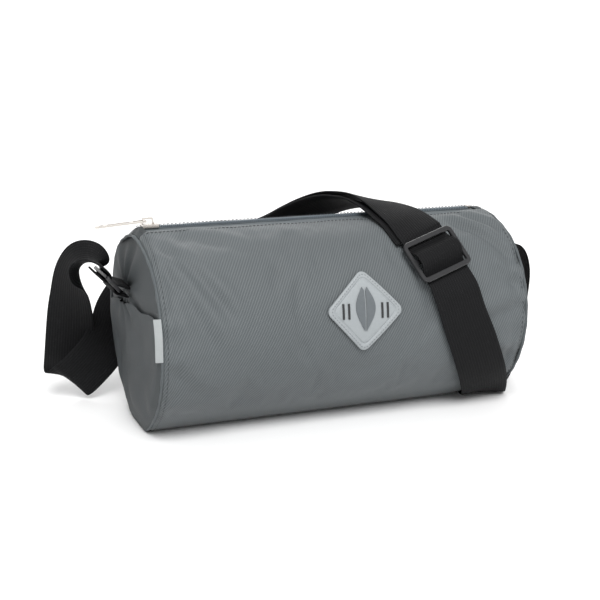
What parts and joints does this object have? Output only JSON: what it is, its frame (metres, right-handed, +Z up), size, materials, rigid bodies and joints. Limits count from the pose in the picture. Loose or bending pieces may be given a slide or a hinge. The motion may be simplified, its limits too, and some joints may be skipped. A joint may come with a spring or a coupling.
{
  "type": "cylindrical shoulder bag",
  "caption": "Soft cylindrical zip-top bag with a slip pocket on one end, a rubber patch and an adjustable webbing shoulder strap.",
  "frame": {"origin": "centre of the flat base, on the surface it stands on", "axes": "+X along the barrel from the slip-pocket end to the plain end, -Y the front with the patch, +Z up"},
  "size_m": [0.3921, 0.1869, 0.1659],
  "materials": {
    "twill": "matte twill",
    "end_fabric": "matte plain weave",
    "lining": "matte",
    "zip_tape": "matte knit",
    "zip_coil": "satin",
    "nickel": "satin nickel",
    "patch_rubber": "matte",
    "patch_ink": "matte",
    "patch_emblem": "matte",
    "label": "matte woven",
    "webbing": "matte woven",
    "black_plastic": "semi-gloss"
  },
  "bodies": {
    "bag": {"main_panel": "twill", "lining": "lining", "end_panel_left": "end_fabric", "end_panel_right": "end_fabric", "seam_binding_left": "lining", "seam_binding_right": "lining", "end_pocket_left": "end_fabric", "zip_tape_front": "zip_tape", "zip_tape_rear": "zip_tape", "zip_coil_front": "zip_coil", "zip_coil_rear": "zip_coil", "zip_end_tab_left": "end_fabric", "zip_end_tab_right": "end_fabric", "zip_stop_right": "nickel", "patch_plate": "patch_rubber", "patch_bar_1": "patch_ink", "patch_bar_2": "patch_ink", "patch_bar_3": "patch_ink", "patch_bar_4": "patch_ink", "patch_leaf_left": "patch_emblem", "patch_leaf_right": "patch_emblem", "side_label": "label", "shoulder_strap": "webbing", "strap_return_layer": "webbing", "tri_glide": "black_plastic", "strap_ring_left": "black_plastic", "strap_ring_right": "black_plastic", "anchor_tab_left": "webbing", "anchor_tab_right": "webbing"},
    "slider": {"slider_body": "nickel"},
    "puller": {"zip_puller": "nickel"}
  },
  "joints": [
    {"name": "zip_slide", "type": "slide", "parent": "bag", "child": "slider", "axis": [1, 0, 0], "range_m": [0, 0.15], "deforming": ["zip_coil_front", "zip_coil_rear", "zip_tape_front", "zip_tape_rear"]},
    {"name": "puller_swing", "type": "hinge", "parent": "slider", "child": "puller", "pos_m": [-0.1361, 0, 0.1541], "axis": [0, 1, 0], "range_deg": [0, 150]}
  ]
}
